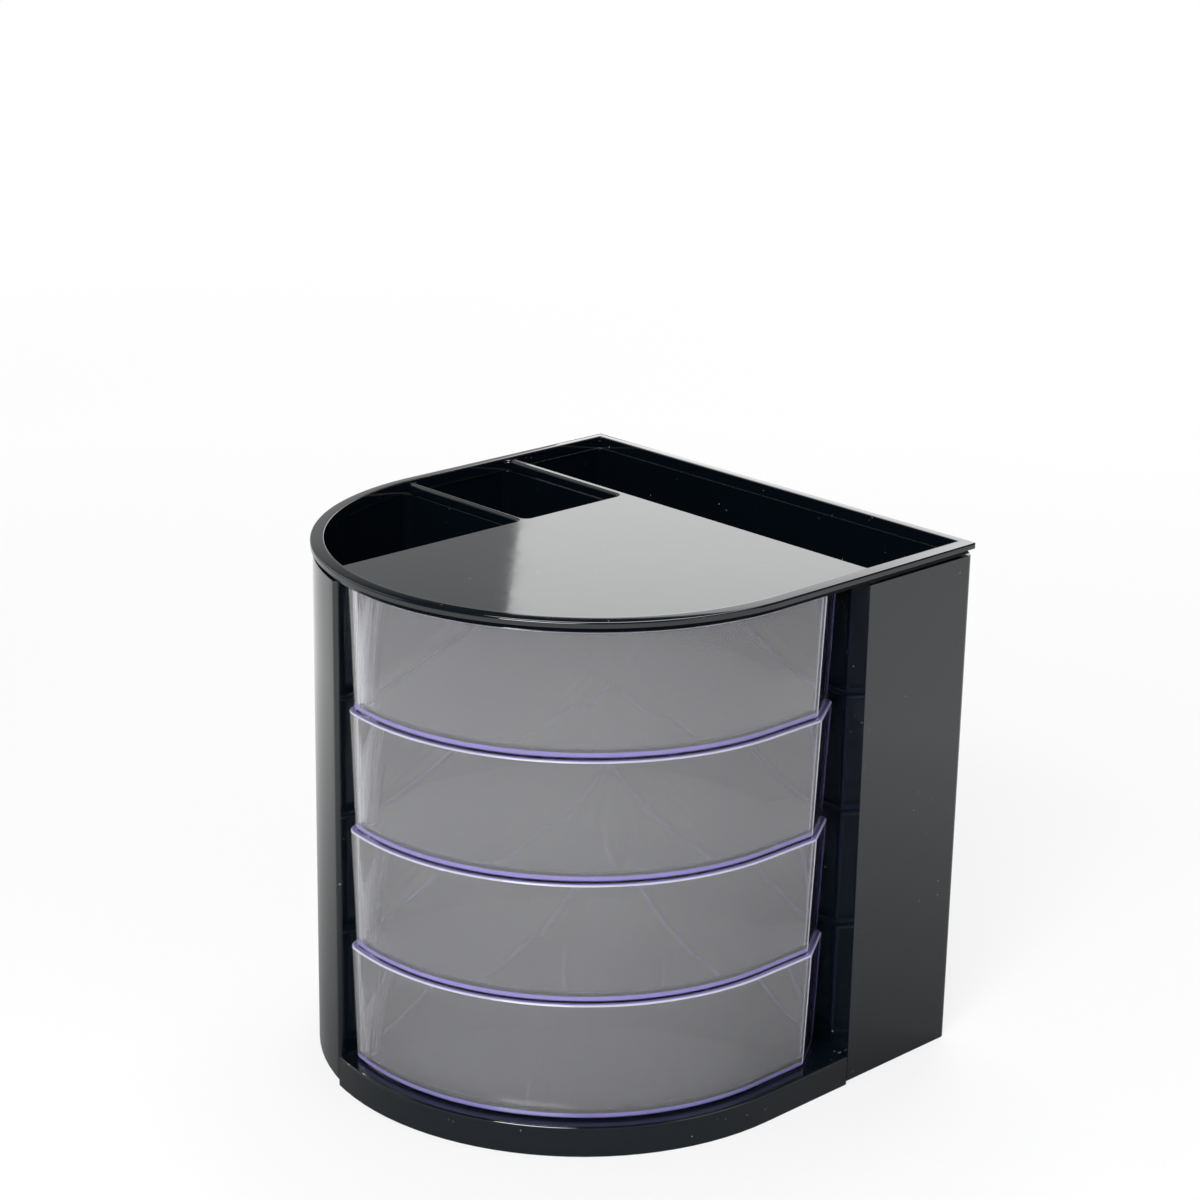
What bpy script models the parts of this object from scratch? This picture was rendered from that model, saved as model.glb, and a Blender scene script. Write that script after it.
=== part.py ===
"""Pen holder for a desk, with four drawers that swing out.

The plan is a D: straight sides and back, and one half-round front. A note box runs along the back and two
pen cells stand at the left. The rest is an open bay with a plate over it and a base under it, and four clear
drawers turn in it on one steel rod at the front left.

Lengths are in metres. Everything is laid out from the centre of the half-round front, with +X to the
right, +Y to the back and +Z up, and then hung on an empty that puts the origin under the middle.
"""
from math import atan2, ceil, cos, degrees, floor, pi, radians, sin, sqrt

import bmesh
import bpy
from mathutils import Matrix, Vector

# Whole holder
BODY_WIDTH = 0.109
BACK_DEPTH = 0.056
HEIGHT = 0.110
WALL = 0.002
BACK_CORNER_RADIUS = 0.0012
FIT_GAP = 0.0003

# Cells for notes and pens
NOTE_DEPTH = 0.0262
PEN_WIDTH = 0.036
REAR_CELL_DEPTH = 0.027
CELL_SPLIT_WALL = 0.0014
CELL_CORNER_RADIUS = 0.0016
FOOT_RECESS = 0.003
CELL_FLOOR = 0.002
WALL_END_RADIUS = 0.0009
JAMB_WIDTH = 0.005
JAMB_PROUD = 0.0008

# Top cover
RIM_PROUD = 0.0005
RIM_BAND = 0.0025
RIM_ROUND = 0.001
RIM_OVERHANG = 0.0005
PLATE_DROP = 0.0005
LOCATING_RIB = 0.0009
LOCATING_RIB_DEPTH = 0.0015

# Base
BASE_HEIGHT = 0.0064
BASE_DECK = 0.002
PLINTH_PROUD = 0.0009
PLINTH_SKIRT = 0.0022
PLINTH_END_GAP = 0.0012
PLINTH_ROUND = 0.0004
RIB = 0.0014
RIB_RISE = 0.0012
TONGUE_WIDTH = 0.009
TONGUE_THICKNESS = 0.0014
TONGUE_RISE = 0.0011
TONGUE_REACH = 0.0006
CATCH_REACH = 0.0007
# Where tongues and catches stand, as shares of the side that carries them
tongue_shares = (0.25, 0.7)
catch_shares = (0.25, 0.75)

# Drawers
DRAWER_COUNT = 4
DRAWER_SETBACK = 0.0011
DRAWER_SIDE_GAP = 0.0019
DRAWER_BACK_GAP = 0.002
DRAWER_TOP_GAP = 0.0007
DRAWER_WALL = 0.0013
DRAWER_FLOOR = 0.0014
DRAWER_DRAFT = 0.0009
DRAWER_FOOT_ROUND = 0.0011
DRAWER_INNER_ROUND = 0.0007
DRAWER_CORNER_RADIUS = 0.001
FINGER_CUT_WIDTH = 0.0072
FINGER_CUT_DEPTH = 0.0101

# Rod and the barrels on it
ROD_RADIUS = 0.0015
ROD_PLAY = 0.0003
ROD_END_CHAMFER = 0.0003
BARREL_WALL = 0.0019
BASE_BOSS_WALL = 0.002
ROD_SEAT_FLOOR = 0.0013
ROD_TOP_SOCKET = 0.0011

# How far a cutter runs past what it cuts
OVERRUN = 0.002
# Points closer than this are one, and so are facet angles closer than this share of a facet
SAME_POINT = 0.000002
same_facet_share = 0.001

# Facets in a quarter turn
FRONT_FACETS = 24
CORNER_FACETS = 5
ROD_FACETS = 6
EDGE_FACETS = 3

# Angles of outward normals, in degrees
RIGHT = 0
BACK = 90
LEFT = 180
FRONT = 270
QUARTER_TURN = 90
FULL_TURN = 360

# Levels
PLATE_TOP = HEIGHT - PLATE_DROP
COVER_BOTTOM = HEIGHT - RIM_BAND
BODY_TOP = COVER_BOTTOM - FIT_GAP
FLOOR_TOP = FOOT_RECESS + CELL_FLOOR
STACK_HEIGHT = COVER_BOTTOM - DRAWER_TOP_GAP - BASE_HEIGHT
DRAWER_PITCH = STACK_HEIGHT / DRAWER_COUNT
DRAWER_HEIGHT = DRAWER_PITCH - FIT_GAP

# Plan
BODY_RADIUS = BODY_WIDTH / 2
INNER_RADIUS = BODY_RADIUS - WALL
PEN_RIGHT = PEN_WIDTH - INNER_RADIUS
BAY_LEFT = PEN_RIGHT + WALL
NOTE_BACK = BACK_DEPTH - WALL
NOTE_FRONT = NOTE_BACK - NOTE_DEPTH
BAY_BACK = NOTE_FRONT - WALL
REAR_CELL_FRONT = BAY_BACK - REAR_CELL_DEPTH
FRONT_CELL_BACK = REAR_CELL_FRONT - CELL_SPLIT_WALL
JAMB_FRONT = BAY_BACK - JAMB_PROUD
JAMB_LEFT = BODY_RADIUS - JAMB_WIDTH
RIM_RADIUS = BODY_RADIUS + RIM_PROUD
PLINTH_RADIUS = BODY_RADIUS + PLINTH_PROUD
DECK_RADIUS = PLINTH_RADIUS - PLINTH_SKIRT
DRAWER_RADIUS = BODY_RADIUS - DRAWER_SETBACK
DRAWER_BACK = BAY_BACK - DRAWER_BACK_GAP
DRAWER_LEFT = BAY_LEFT + DRAWER_SIDE_GAP
BORE_RADIUS = ROD_RADIUS + ROD_PLAY
BARREL_RADIUS = BORE_RADIUS + BARREL_WALL
PIVOT_X = DRAWER_LEFT + BARREL_RADIUS
PIVOT_Y = -sqrt((DRAWER_RADIUS - BARREL_RADIUS) ** 2 - PIVOT_X ** 2)
PIVOT_NORMAL = degrees(atan2(PIVOT_Y, PIVOT_X)) % FULL_TURN
BOSS_RADIUS = BORE_RADIUS + BASE_BOSS_WALL

# The middle of the whole holder's box, seen from the centre of the half-round front
WIDEST = max(RIM_RADIUS, PLINTH_RADIUS)
MIDDLE = Vector(((WIDEST - RIM_RADIUS) / 2, (BACK_DEPTH + RIM_PROUD - WIDEST) / 2, 0))


def clear_scene():
    """Removes what the new file holds."""
    for thing in list(bpy.data.objects):
        bpy.data.objects.remove(thing, do_unlink=True)


def plastic(name, colour, roughness, clear=0.0):
    """A moulded plastic, opaque or clear."""
    material = bpy.data.materials.new(name)
    material.use_nodes = True
    shader = material.node_tree.nodes["Principled BSDF"]
    shader.inputs["Base Color"].default_value = (*colour, 1)
    shader.inputs["Roughness"].default_value = roughness
    shader.inputs["Transmission Weight"].default_value = clear
    material.diffuse_color = (*colour, 1 - clear / 2)
    return material


def steel(name, colour, roughness):
    """Bright drawn wire."""
    material = plastic(name, colour, roughness)
    material.node_tree.nodes["Principled BSDF"].inputs["Metallic"].default_value = 1
    return material


def direction(angle):
    """Unit vector in the plan at an angle in degrees."""
    return Vector((cos(radians(angle)), sin(radians(angle))))


def arc(center, radius, start, end, facets):
    """Points along an arc in the plan, both ends included, on facets that every arc shares."""
    facet = QUARTER_TURN / facets
    first = floor(start / facet + same_facet_share) + 1
    last = ceil(end / facet - same_facet_share)
    turns = [start] + [facet * index for index in range(first, last)] + [end]
    return [Vector(center) + radius * direction(turn) for turn in turns]


def corner(x, y, radius, first, last, inset=0.0):
    """A rounded corner, as an arc: its sharp point is x, y, between sides with these outward normals.

    An inset draws both sides in and keeps the radius.
    """
    one = direction(first)
    other = direction(last)
    center = Vector((x, y)) - (radius + inset) * (one + other) / (1 + one.dot(other))
    return center, radius, first, last, CORNER_FACETS


def outline(arcs):
    """A convex outline from arcs that share their end normals."""
    points = []
    for center, radius, start, end, facets in arcs:
        piece = arc(center, radius, start, end, facets)
        if points and (piece[0] - points[-1]).length < SAME_POINT:
            points.pop()
        points += piece
    return points


def normal_at(center):
    """Outward normal of the half-round front where a round with this centre touches it."""
    return degrees(atan2(center.y, center.x)) % FULL_TURN


def round_beside(x, radius, small):
    """Centre of a small round that touches the half-round front from inside, and the line at x."""
    center_x = x - small
    return Vector((center_x, -sqrt((radius - small) ** 2 - center_x ** 2)))


def round_before(y, radius, small):
    """Centre of a small round that touches the front from inside at the left, and the line at y."""
    center_y = y - small
    return Vector((-sqrt((radius - small) ** 2 - center_y ** 2), center_y))


def front_at(x, radius):
    """The front's y at an x."""
    return -sqrt(radius ** 2 - x ** 2)


def new_object(name, mesh, material):
    """An object on its mesh, in its material where it has one."""
    item = bpy.data.objects.new(name, mesh)
    bpy.context.scene.collection.objects.link(item)
    if material:
        mesh.materials.append(material)
    return item


def loft(name, rings, material=None):
    """A closed solid through rings of equal count, each a list of points and a height."""
    work = bmesh.new()
    layers = []
    for points, height in rings:
        layers.append([work.verts.new((point.x, point.y, height)) for point in points])
    count = len(layers[0])
    for low, high in zip(layers, layers[1:]):
        for index in range(count):
            after = (index + 1) % count
            work.faces.new((low[index], low[after], high[after], high[index]))
    work.faces.new(reversed(layers[0]))
    work.faces.new(layers[-1])
    mesh = bpy.data.meshes.new(name)
    work.to_mesh(mesh)
    work.free()
    return new_object(name, mesh, material)


def prism(name, points, bottom, top, material=None, edge=0.0):
    """An outline raised between two heights, with its top edge rounded where an edge size is given."""
    item = loft(name, [(points, bottom), (points, top)], material)
    if edge:
        work = bmesh.new()
        work.from_mesh(item.data)
        rim = [line for line in work.edges if all(end.co.z > (bottom + top) / 2 for end in line.verts)]
        bmesh.ops.bevel(work, geom=rim, offset=edge, segments=EDGE_FACETS, profile=0.5, affect="EDGES")
        work.to_mesh(item.data)
        work.free()
    return item


def box(name, left, right, front, back, bottom, top):
    """A plain block between six planes."""
    points = [Vector((left, front)), Vector((right, front)), Vector((right, back)), Vector((left, back))]
    return prism(name, points, bottom, top)


def round_outline(radius):
    """A circle round the drawers' pivot."""
    return arc((PIVOT_X, PIVOT_Y), radius, 0, FULL_TURN, ROD_FACETS)[:-1]


def rod_shape(name, radius, bottom, top):
    """A cylinder on the drawers' pivot."""
    return prism(name, round_outline(radius), bottom, top)


def combine(item, tools, operation):
    """Cuts tools from an item, or joins them to it, and removes the tools."""
    for tool in tools:
        change = item.modifiers.new(operation, "BOOLEAN")
        change.operation = operation
        change.solver = "EXACT"
        change.object = tool
    graph = bpy.context.evaluated_depsgraph_get()
    mesh = bpy.data.meshes.new_from_object(item.evaluated_get(graph))
    item.modifiers.clear()
    item.data = mesh
    for tool in tools:
        bpy.data.objects.remove(tool, do_unlink=True)
    return item


def smooth(item):
    """Shades an item smooth, with its edges kept."""
    item.data.shade_smooth()
    item.data.set_sharp_from_angle(angle=pi / 6)


def note_cell():
    """Outline of the note box's inside."""
    return outline([
        corner(INNER_RADIUS, NOTE_FRONT, CELL_CORNER_RADIUS, FRONT - FULL_TURN, RIGHT),
        corner(INNER_RADIUS, NOTE_BACK, CELL_CORNER_RADIUS, RIGHT, BACK),
        corner(-INNER_RADIUS, NOTE_BACK, CELL_CORNER_RADIUS, BACK, LEFT),
        corner(-INNER_RADIUS, NOTE_FRONT, CELL_CORNER_RADIUS, LEFT, FRONT),
    ])


def rear_cell():
    """Outline of the rear pen cell."""
    return outline([
        corner(PEN_RIGHT, REAR_CELL_FRONT, CELL_CORNER_RADIUS, FRONT - FULL_TURN, RIGHT),
        corner(PEN_RIGHT, BAY_BACK, CELL_CORNER_RADIUS, RIGHT, BACK),
        corner(-INNER_RADIUS, BAY_BACK, CELL_CORNER_RADIUS, BACK, LEFT),
        corner(-INNER_RADIUS, REAR_CELL_FRONT, CELL_CORNER_RADIUS, LEFT, FRONT),
    ])


def front_cell():
    """Outline of the front pen cell, whose front wall follows the half-round front."""
    left = round_before(FRONT_CELL_BACK, INNER_RADIUS, CELL_CORNER_RADIUS)
    right = round_beside(PEN_RIGHT, INNER_RADIUS, CELL_CORNER_RADIUS)
    return outline([
        (left, CELL_CORNER_RADIUS, BACK, normal_at(left), CORNER_FACETS),
        (Vector((0, 0)), INNER_RADIUS, normal_at(left), normal_at(right), FRONT_FACETS),
        (right, CELL_CORNER_RADIUS, normal_at(right), FULL_TURN, CORNER_FACETS),
        corner(PEN_RIGHT, FRONT_CELL_BACK, CELL_CORNER_RADIUS, RIGHT, BACK),
    ])


CELLS = {"note_cell": note_cell, "rear_cell": rear_cell, "front_cell": front_cell}


def body_outline():
    """The note box with the pen cells in front of its left end."""
    end = round_beside(BAY_LEFT, BODY_RADIUS, WALL_END_RADIUS)
    points = arc((0, 0), BODY_RADIUS, LEFT, normal_at(end), FRONT_FACETS)
    points += arc(end, WALL_END_RADIUS, normal_at(end), FULL_TURN, CORNER_FACETS)
    points += [Vector((BAY_LEFT, BAY_BACK)), Vector((JAMB_LEFT, BAY_BACK)), Vector((JAMB_LEFT, JAMB_FRONT))]
    points.append(Vector((BODY_RADIUS, JAMB_FRONT)))
    points += outline([
        corner(BODY_RADIUS, BACK_DEPTH, BACK_CORNER_RADIUS, RIGHT, BACK),
        corner(-BODY_RADIUS, BACK_DEPTH, BACK_CORNER_RADIUS, BACK, LEFT),
    ])
    return points


def tongues(name, grow):
    """The base's two tongues and two catches, or the slots for them where they are grown."""
    half = TONGUE_WIDTH / 2 + grow
    bottom = TONGUE_RISE - grow
    top = TONGUE_RISE + TONGUE_THICKNESS + grow
    root = FIT_GAP + PLINTH_SKIRT / 2
    tip = BAY_LEFT - WALL - TONGUE_REACH - grow
    catch = BAY_BACK + CATCH_REACH + grow
    deck_front = front_at(BAY_LEFT, DECK_RADIUS)
    blocks = []
    for share in tongue_shares:
        y = BAY_BACK + (deck_front - BAY_BACK) * share
        blocks.append(box(name, tip, BAY_LEFT + root, y - half, y + half, bottom, top))
    for share in catch_shares:
        x = BAY_LEFT + (JAMB_LEFT - BAY_LEFT) * share
        blocks.append(box(name, x - half, x + half, BAY_BACK - root, catch, bottom, top))
    return blocks


def build_body(material):
    """One moulding: note box, two pen cells, and the slots that the base hooks into."""
    body = prism("main_body", body_outline(), 0, BODY_TOP, material)
    cutters = []
    for name, shape in CELLS.items():
        cutters.append(prism(name, shape(), FLOOR_TOP, BODY_TOP + OVERRUN))
        cutters.append(prism(name + "_foot", shape(), -OVERRUN, FOOT_RECESS))
    return combine(body, cutters + tongues("slot", FIT_GAP), "DIFFERENCE")


def d_shape(radius, back, round_radius):
    """Outline of a D: straight sides and back, one half-round front."""
    return outline([
        (Vector((0, 0)), radius, LEFT, FULL_TURN, FRONT_FACETS),
        corner(radius, back, round_radius, RIGHT, BACK),
        corner(-radius, back, round_radius, BACK, LEFT),
    ])


def rim_outline(inset):
    """Outside of the rim, drawn in by an inset."""
    back = BACK_DEPTH + RIM_PROUD - inset
    return d_shape(RIM_RADIUS - inset, back, BACK_CORNER_RADIUS + RIM_PROUD - inset)


def build_cover(material):
    """One moulding: the rim all round, and inside it the plate over the drawers and the cells' strips."""
    rings = [(rim_outline(0), COVER_BOTTOM)]
    for step in range(EDGE_FACETS + 1):
        turn = pi / 2 * step / EDGE_FACETS
        rings.append((rim_outline(RIM_ROUND * (1 - cos(turn))), HEIGHT - RIM_ROUND * (1 - sin(turn))))
    cover = loft("top_cover", rings, material)
    inside = d_shape(INNER_RADIUS - RIM_OVERHANG, NOTE_BACK - RIM_OVERHANG, CELL_CORNER_RADIUS)
    combine(cover, [prism("inside", inside, COVER_BOTTOM - OVERRUN, HEIGHT + OVERRUN)], "DIFFERENCE")
    reach = d_shape(INNER_RADIUS + RIM_OVERHANG, NOTE_BACK + RIM_OVERHANG, CELL_CORNER_RADIUS)
    web = prism("web", reach, COVER_BOTTOM, PLATE_TOP)
    openings = [prism(name, shape(), COVER_BOTTOM - OVERRUN, HEIGHT) for name, shape in CELLS.items()]
    combine(web, openings, "DIFFERENCE")
    combine(cover, [web, locating_rib()], "UNION")
    socket = rod_shape("socket", BORE_RADIUS, COVER_BOTTOM - OVERRUN, COVER_BOTTOM + ROD_TOP_SOCKET)
    return combine(cover, [socket], "DIFFERENCE")


def locating_rib():
    """The angle under the plate that drops in behind the bay's top edges."""
    left = BAY_LEFT + FIT_GAP
    back = BAY_BACK - FIT_GAP
    front = PIVOT_Y + BARREL_RADIUS
    right = JAMB_LEFT - FIT_GAP
    points = [
        Vector((left, front)), Vector((left + LOCATING_RIB, front)),
        Vector((left + LOCATING_RIB, back - LOCATING_RIB)), Vector((right, back - LOCATING_RIB)),
        Vector((right, back)), Vector((left, back)),
    ]
    return prism("rib", points, COVER_BOTTOM - LOCATING_RIB_DEPTH, (COVER_BOTTOM + PLATE_TOP) / 2)


def base_outline():
    """The deck fills the bay's foot, and the plinth stands proud of it between two end gaps."""
    left = BAY_LEFT + FIT_GAP
    back = BAY_BACK - FIT_GAP
    plinth_left = BAY_LEFT + PLINTH_END_GAP
    plinth_back = JAMB_FRONT - PLINTH_END_GAP
    start = normal_at(Vector((plinth_left, front_at(plinth_left, PLINTH_RADIUS))))
    points = [
        Vector((left, back)), Vector((left, front_at(left, DECK_RADIUS))),
        Vector((plinth_left, front_at(plinth_left, DECK_RADIUS))),
    ]
    points += arc((0, 0), PLINTH_RADIUS, start, FULL_TURN, FRONT_FACETS)
    points += [
        Vector((PLINTH_RADIUS, plinth_back)), Vector((DECK_RADIUS, plinth_back)),
        Vector((DECK_RADIUS, JAMB_FRONT - FIT_GAP)), Vector((JAMB_LEFT - FIT_GAP, JAMB_FRONT - FIT_GAP)),
        Vector((JAMB_LEFT - FIT_GAP, back)),
    ]
    return points


def build_base(material):
    """One moulding: deck, plinth skirt, ribs under the deck, tongues, catches and the rod's boss."""
    base = prism("base", base_outline(), 0, BASE_HEIGHT, material, PLINTH_ROUND)
    left = BAY_LEFT + FIT_GAP + PLINTH_SKIRT
    back = JAMB_FRONT - FIT_GAP - PLINTH_SKIRT
    under = BASE_HEIGHT - BASE_DECK
    mirrored = round_beside(-left, DECK_RADIUS, CELL_CORNER_RADIUS)
    center = Vector((-mirrored.x, mirrored.y))
    hollow = outline([
        (center, CELL_CORNER_RADIUS, LEFT, normal_at(center), CORNER_FACETS),
        (Vector((0, 0)), DECK_RADIUS, normal_at(center), FULL_TURN, FRONT_FACETS),
        corner(DECK_RADIUS, back, CELL_CORNER_RADIUS, RIGHT, BACK),
        corner(left, back, CELL_CORNER_RADIUS, BACK, LEFT),
    ])
    combine(base, [prism("hollow", hollow, -OVERRUN, under)], "DIFFERENCE")
    root = PLINTH_SKIRT / 2
    embed = DECK_RADIUS + root
    rib_y = (back + PIVOT_Y) / 2
    rib_x = (left + DECK_RADIUS) / 2
    half = RIB / 2
    top = under + BASE_DECK / 2
    joined = [
        box("rib_across", left - root, -front_at(rib_y, embed), rib_y - half, rib_y + half, RIB_RISE, top),
        box("rib_along", rib_x - half, rib_x + half, front_at(rib_x, embed), back + root, RIB_RISE, top),
        rod_shape("boss", BOSS_RADIUS, 0, top),
    ]
    combine(base, joined + tongues("tongue", 0), "UNION")
    seat = rod_shape("seat", BORE_RADIUS, ROD_SEAT_FLOOR, BASE_HEIGHT + OVERRUN)
    return combine(base, [seat], "DIFFERENCE")


def build_rod(material):
    """A straight steel rod with chamfered ends, held between the base's boss and the cover's socket."""
    bottom = ROD_SEAT_FLOOR + FIT_GAP
    top = COVER_BOTTOM + ROD_TOP_SOCKET - FIT_GAP
    full = round_outline(ROD_RADIUS)
    small = round_outline(ROD_RADIUS - ROD_END_CHAMFER)
    rings = [(small, bottom), (full, bottom + ROD_END_CHAMFER), (full, top - ROD_END_CHAMFER), (small, top)]
    return loft("pivot_rod", rings, material)


def drawer_outline(inset):
    """Plan of a drawer: round at the pivot, half-round front, and a cut corner for a finger."""
    cut = degrees(atan2(FINGER_CUT_WIDTH, FINGER_CUT_DEPTH))
    small = DRAWER_CORNER_RADIUS
    return outline([
        (Vector((PIVOT_X, PIVOT_Y)), BARREL_RADIUS - inset, LEFT, PIVOT_NORMAL, CORNER_FACETS),
        (Vector((0, 0)), DRAWER_RADIUS - inset, PIVOT_NORMAL, FULL_TURN, FRONT_FACETS),
        corner(DRAWER_RADIUS, DRAWER_BACK - FINGER_CUT_DEPTH, small, RIGHT, cut, inset),
        corner(DRAWER_RADIUS - FINGER_CUT_WIDTH, DRAWER_BACK, small, cut, BACK, inset),
        corner(DRAWER_LEFT, DRAWER_BACK, small, BACK, LEFT, inset),
    ])


def draft(height):
    """How far a drawer's side stands in from its rim, at a height above its underside."""
    return DRAWER_DRAFT * (1 - height / DRAWER_HEIGHT)


def foot_rings(inset, bottom, radius):
    """Rings up a tray's rounded foot, from a bottom height to where its drafted side begins."""
    rings = []
    for step in range(EDGE_FACETS + 1):
        turn = pi / 2 * step / EDGE_FACETS
        height = bottom + radius * (1 - cos(turn))
        rings.append((drawer_outline(inset + draft(height) + radius * (1 - sin(turn))), height))
    return rings


def drawer_mesh():
    """A clear tray, wider at its rim than at its foot, with the barrel that turns on the rod."""
    over = DRAWER_HEIGHT + OVERRUN
    past = over + OVERRUN
    tray = loft("tray", foot_rings(0, 0, DRAWER_FOOT_ROUND) + [(drawer_outline(0), DRAWER_HEIGHT)])
    top = (drawer_outline(DRAWER_WALL + draft(over)), over)
    hollow = loft("hollow", foot_rings(DRAWER_WALL, DRAWER_FLOOR, DRAWER_INNER_ROUND) + [top])
    barrel = loft("barrel", [
        (round_outline(BARREL_RADIUS - draft(0)), 0),
        (round_outline(BARREL_RADIUS - draft(past)), past),
    ])
    combine(hollow, [barrel], "DIFFERENCE")
    combine(tray, [hollow], "DIFFERENCE")
    combine(tray, [rod_shape("bore", BORE_RADIUS, -OVERRUN, over)], "DIFFERENCE")
    mesh = tray.data
    mesh.transform(Matrix.Translation((-PIVOT_X, -PIVOT_Y, 0)))
    bpy.data.objects.remove(tray, do_unlink=True)
    return mesh


def build_drawers(material):
    """Four drawers from the top down, each with its origin on the rod."""
    mesh = drawer_mesh()
    mesh.materials.append(material)
    drawers = []
    for index in range(DRAWER_COUNT):
        above_base = (DRAWER_COUNT - 1 - index) * DRAWER_PITCH
        drawer = bpy.data.objects.new(f"drawer_{index + 1}", mesh)
        bpy.context.scene.collection.objects.link(drawer)
        drawer.location = (PIVOT_X, PIVOT_Y, BASE_HEIGHT + FIT_GAP + above_base)
        drawers.append(drawer)
    return drawers


def main():
    """Builds the pieces and hangs them on one empty under the middle."""
    clear_scene()
    black = plastic("black_polystyrene", (0.012, 0.012, 0.014), 0.12)
    clear = plastic("clear_polystyrene", (0.86, 0.87, 0.9), 0.05, 0.9)
    bright = steel("bright_steel", (0.6, 0.6, 0.6), 0.2)
    pieces = [build_body(black), build_cover(black), build_base(black), build_rod(bright)]
    pieces += build_drawers(clear)
    holder = bpy.data.objects.new("holder", None)
    bpy.context.scene.collection.objects.link(holder)
    holder.location = -MIDDLE
    for piece in pieces:
        smooth(piece)
        piece.parent = holder
    bpy.context.view_layer.update()
    pivot = Vector((PIVOT_X, PIVOT_Y, 0)) - MIDDLE
    print("pivot", [round(value, 6) for value in pivot], "drawer height", round(DRAWER_HEIGHT, 6))


main()
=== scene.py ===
"""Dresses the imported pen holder: glossy black mouldings, four clear swing trays and their steel rod.

Lengths are in metres. Pieces are drawn from the centre of the half-round front, with +X to the right, +Y to
the back and +Z up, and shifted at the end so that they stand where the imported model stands.
"""
from math import atan2, cos, degrees, pi, radians, sin, sqrt, tan

import bmesh
import bpy
from mathutils import Matrix, Vector


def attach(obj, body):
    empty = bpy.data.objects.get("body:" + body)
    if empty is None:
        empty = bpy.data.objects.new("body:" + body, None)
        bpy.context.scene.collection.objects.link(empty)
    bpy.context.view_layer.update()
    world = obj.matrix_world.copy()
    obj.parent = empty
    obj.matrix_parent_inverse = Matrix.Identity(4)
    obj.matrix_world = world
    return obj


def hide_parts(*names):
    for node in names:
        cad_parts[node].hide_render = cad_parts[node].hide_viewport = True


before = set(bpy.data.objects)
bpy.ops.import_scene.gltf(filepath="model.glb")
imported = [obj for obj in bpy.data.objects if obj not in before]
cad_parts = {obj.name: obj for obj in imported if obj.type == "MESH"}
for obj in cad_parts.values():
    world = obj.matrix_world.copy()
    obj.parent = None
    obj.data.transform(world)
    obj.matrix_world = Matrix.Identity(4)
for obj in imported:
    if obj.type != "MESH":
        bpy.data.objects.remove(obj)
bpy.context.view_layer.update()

# Trays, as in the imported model
TRAY_COUNT = 4
TRAY_RADIUS = 0.0534
TRAY_BACK = 0.0238
TRAY_LEFT = -0.0126
TRAY_HEIGHT = 0.0248
TRAY_PITCH = 0.0251
LOWEST_TRAY = 0.0067
TOP_TRAY_RISE = 0.0006
TRAY_WALL = 0.0013
TRAY_FLOOR = 0.0014
TRAY_DRAFT = 0.0009
FOOT_ROUND = 0.0006
INNER_ROUND = 0.0007
TRAY_CORNER = 0.001
RIM_EASE = 0.0003
FOOT_BAND = 0.0012
FINGER_CUT_WIDTH = 0.0064
FINGER_CUT_DEPTH = 0.0101
FINGER_CUT_EDGE = 0.002
CORNER_REACH = 0.0044

# Rod and barrels
ROD_RADIUS = 0.0015
ROD_BOTTOM = 0.0016
ROD_TOP = 0.1083
ROD_CHAMFER = 0.0003
BORE_RADIUS = 0.0018
BARREL_RADIUS = 0.0037
BARREL_TOP_DROP = 0.0003
BARREL_TUCK = 0.00078

# Top cover
RIM_RADIUS = 0.055
RIM_BACK = 0.0565
RIM_WIDTH = 0.003
RIM_FACE = 0.0011
RIM_STEP = 0.001
RIM_SLANT = 0.0007
RIM_ROUND = 0.0004
LIP_SLOPE = 0.00026
LIP_WIDTH = 0.0017
LIP_FLAT = 0.0005
LIP_FALL = 0.00004
LIP_EASE = 0.0002
RIM_CORNER = 0.0014
COVER_BOTTOM = 0.1075
COVER_TOP = 0.11
PLATE_TOP = 0.1095
WEB_RADIUS = 0.053
WEB_BACK = 0.0545
OPENING_REACH = 0.0522
OPENING_CORNER = 0.0015
WALL_TOP_ROUND = 0.0006
LONG_BOX_FRONT = 0.0278
LONG_BOX_BACK = 0.0542
REAR_CELL_BACK = 0.0258
REAR_CELL_FRONT = -0.0012
FRONT_CELL_BACK = -0.0026
CELL_RIGHT = -0.0165
RIB_LEFT = -0.0142
RIB_BACK = 0.0255
RIB_RIGHT = 0.0492
RIB_FRONT = -0.0452
RIB_THICKNESS = 0.0009
RIB_DEPTH = 0.0015
SOCKET_TOP = 0.1086

# Black mouldings
EDGE_EASE = 0.00025
COVER_EASE = 0.00012

PIVOT_X = TRAY_LEFT + BARREL_RADIUS
PIVOT_Y = -sqrt((TRAY_RADIUS - BARREL_RADIUS) ** 2 - PIVOT_X ** 2)
PIVOT = Vector((PIVOT_X, PIVOT_Y, 0))
PIVOT_NORMAL = degrees(atan2(PIVOT_Y, PIVOT_X)) % 360

# Points closer than this are one
SAME = 0.000002
# Points this near a named corner belong to it
NEAR = 0.00014
# An edge that rises more than this isn't level
LEVEL = 0.00001
# Faces that turn less than this are one, and faces that turn more than the other meet in a sharp edge
FLAT_ANGLE = radians(0.3)
SHARP_ANGLE = radians(32)
# How far a face's normal may lean, as a cosine, and still be square to a line or upright
SQUARE_COSINE = 0.05
UPRIGHT_COSINE = 0.1
STEEP_COSINE = 0.5

# Facets: in degrees along arcs wider and tighter than the given radius, and in a quarter or full turn
WIDE_ARC = 0.013
WIDE_ARC_FACET = 1.5
TIGHT_ARC_FACET = 7.5
FEWEST_FACETS = 4
EASE_FACETS = 3
LIP_FACETS = 4
WALL_TOP_FACETS = 4
ROUND_FACETS = 5
FOOT_FACETS = 6
ROD_FACETS = 48
BARREL_FACETS = 64

# A tray's finishes, in the order of its material slots: the clear sides, painted glow on edges, painted
# highlight on corners, and painted shade on the finger cut
SIDE, PAINTED_GLOW_EDGE, PAINTED_HIGHLIGHT_CORNER, PAINTED_SHADE_CUT = range(4)

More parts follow.
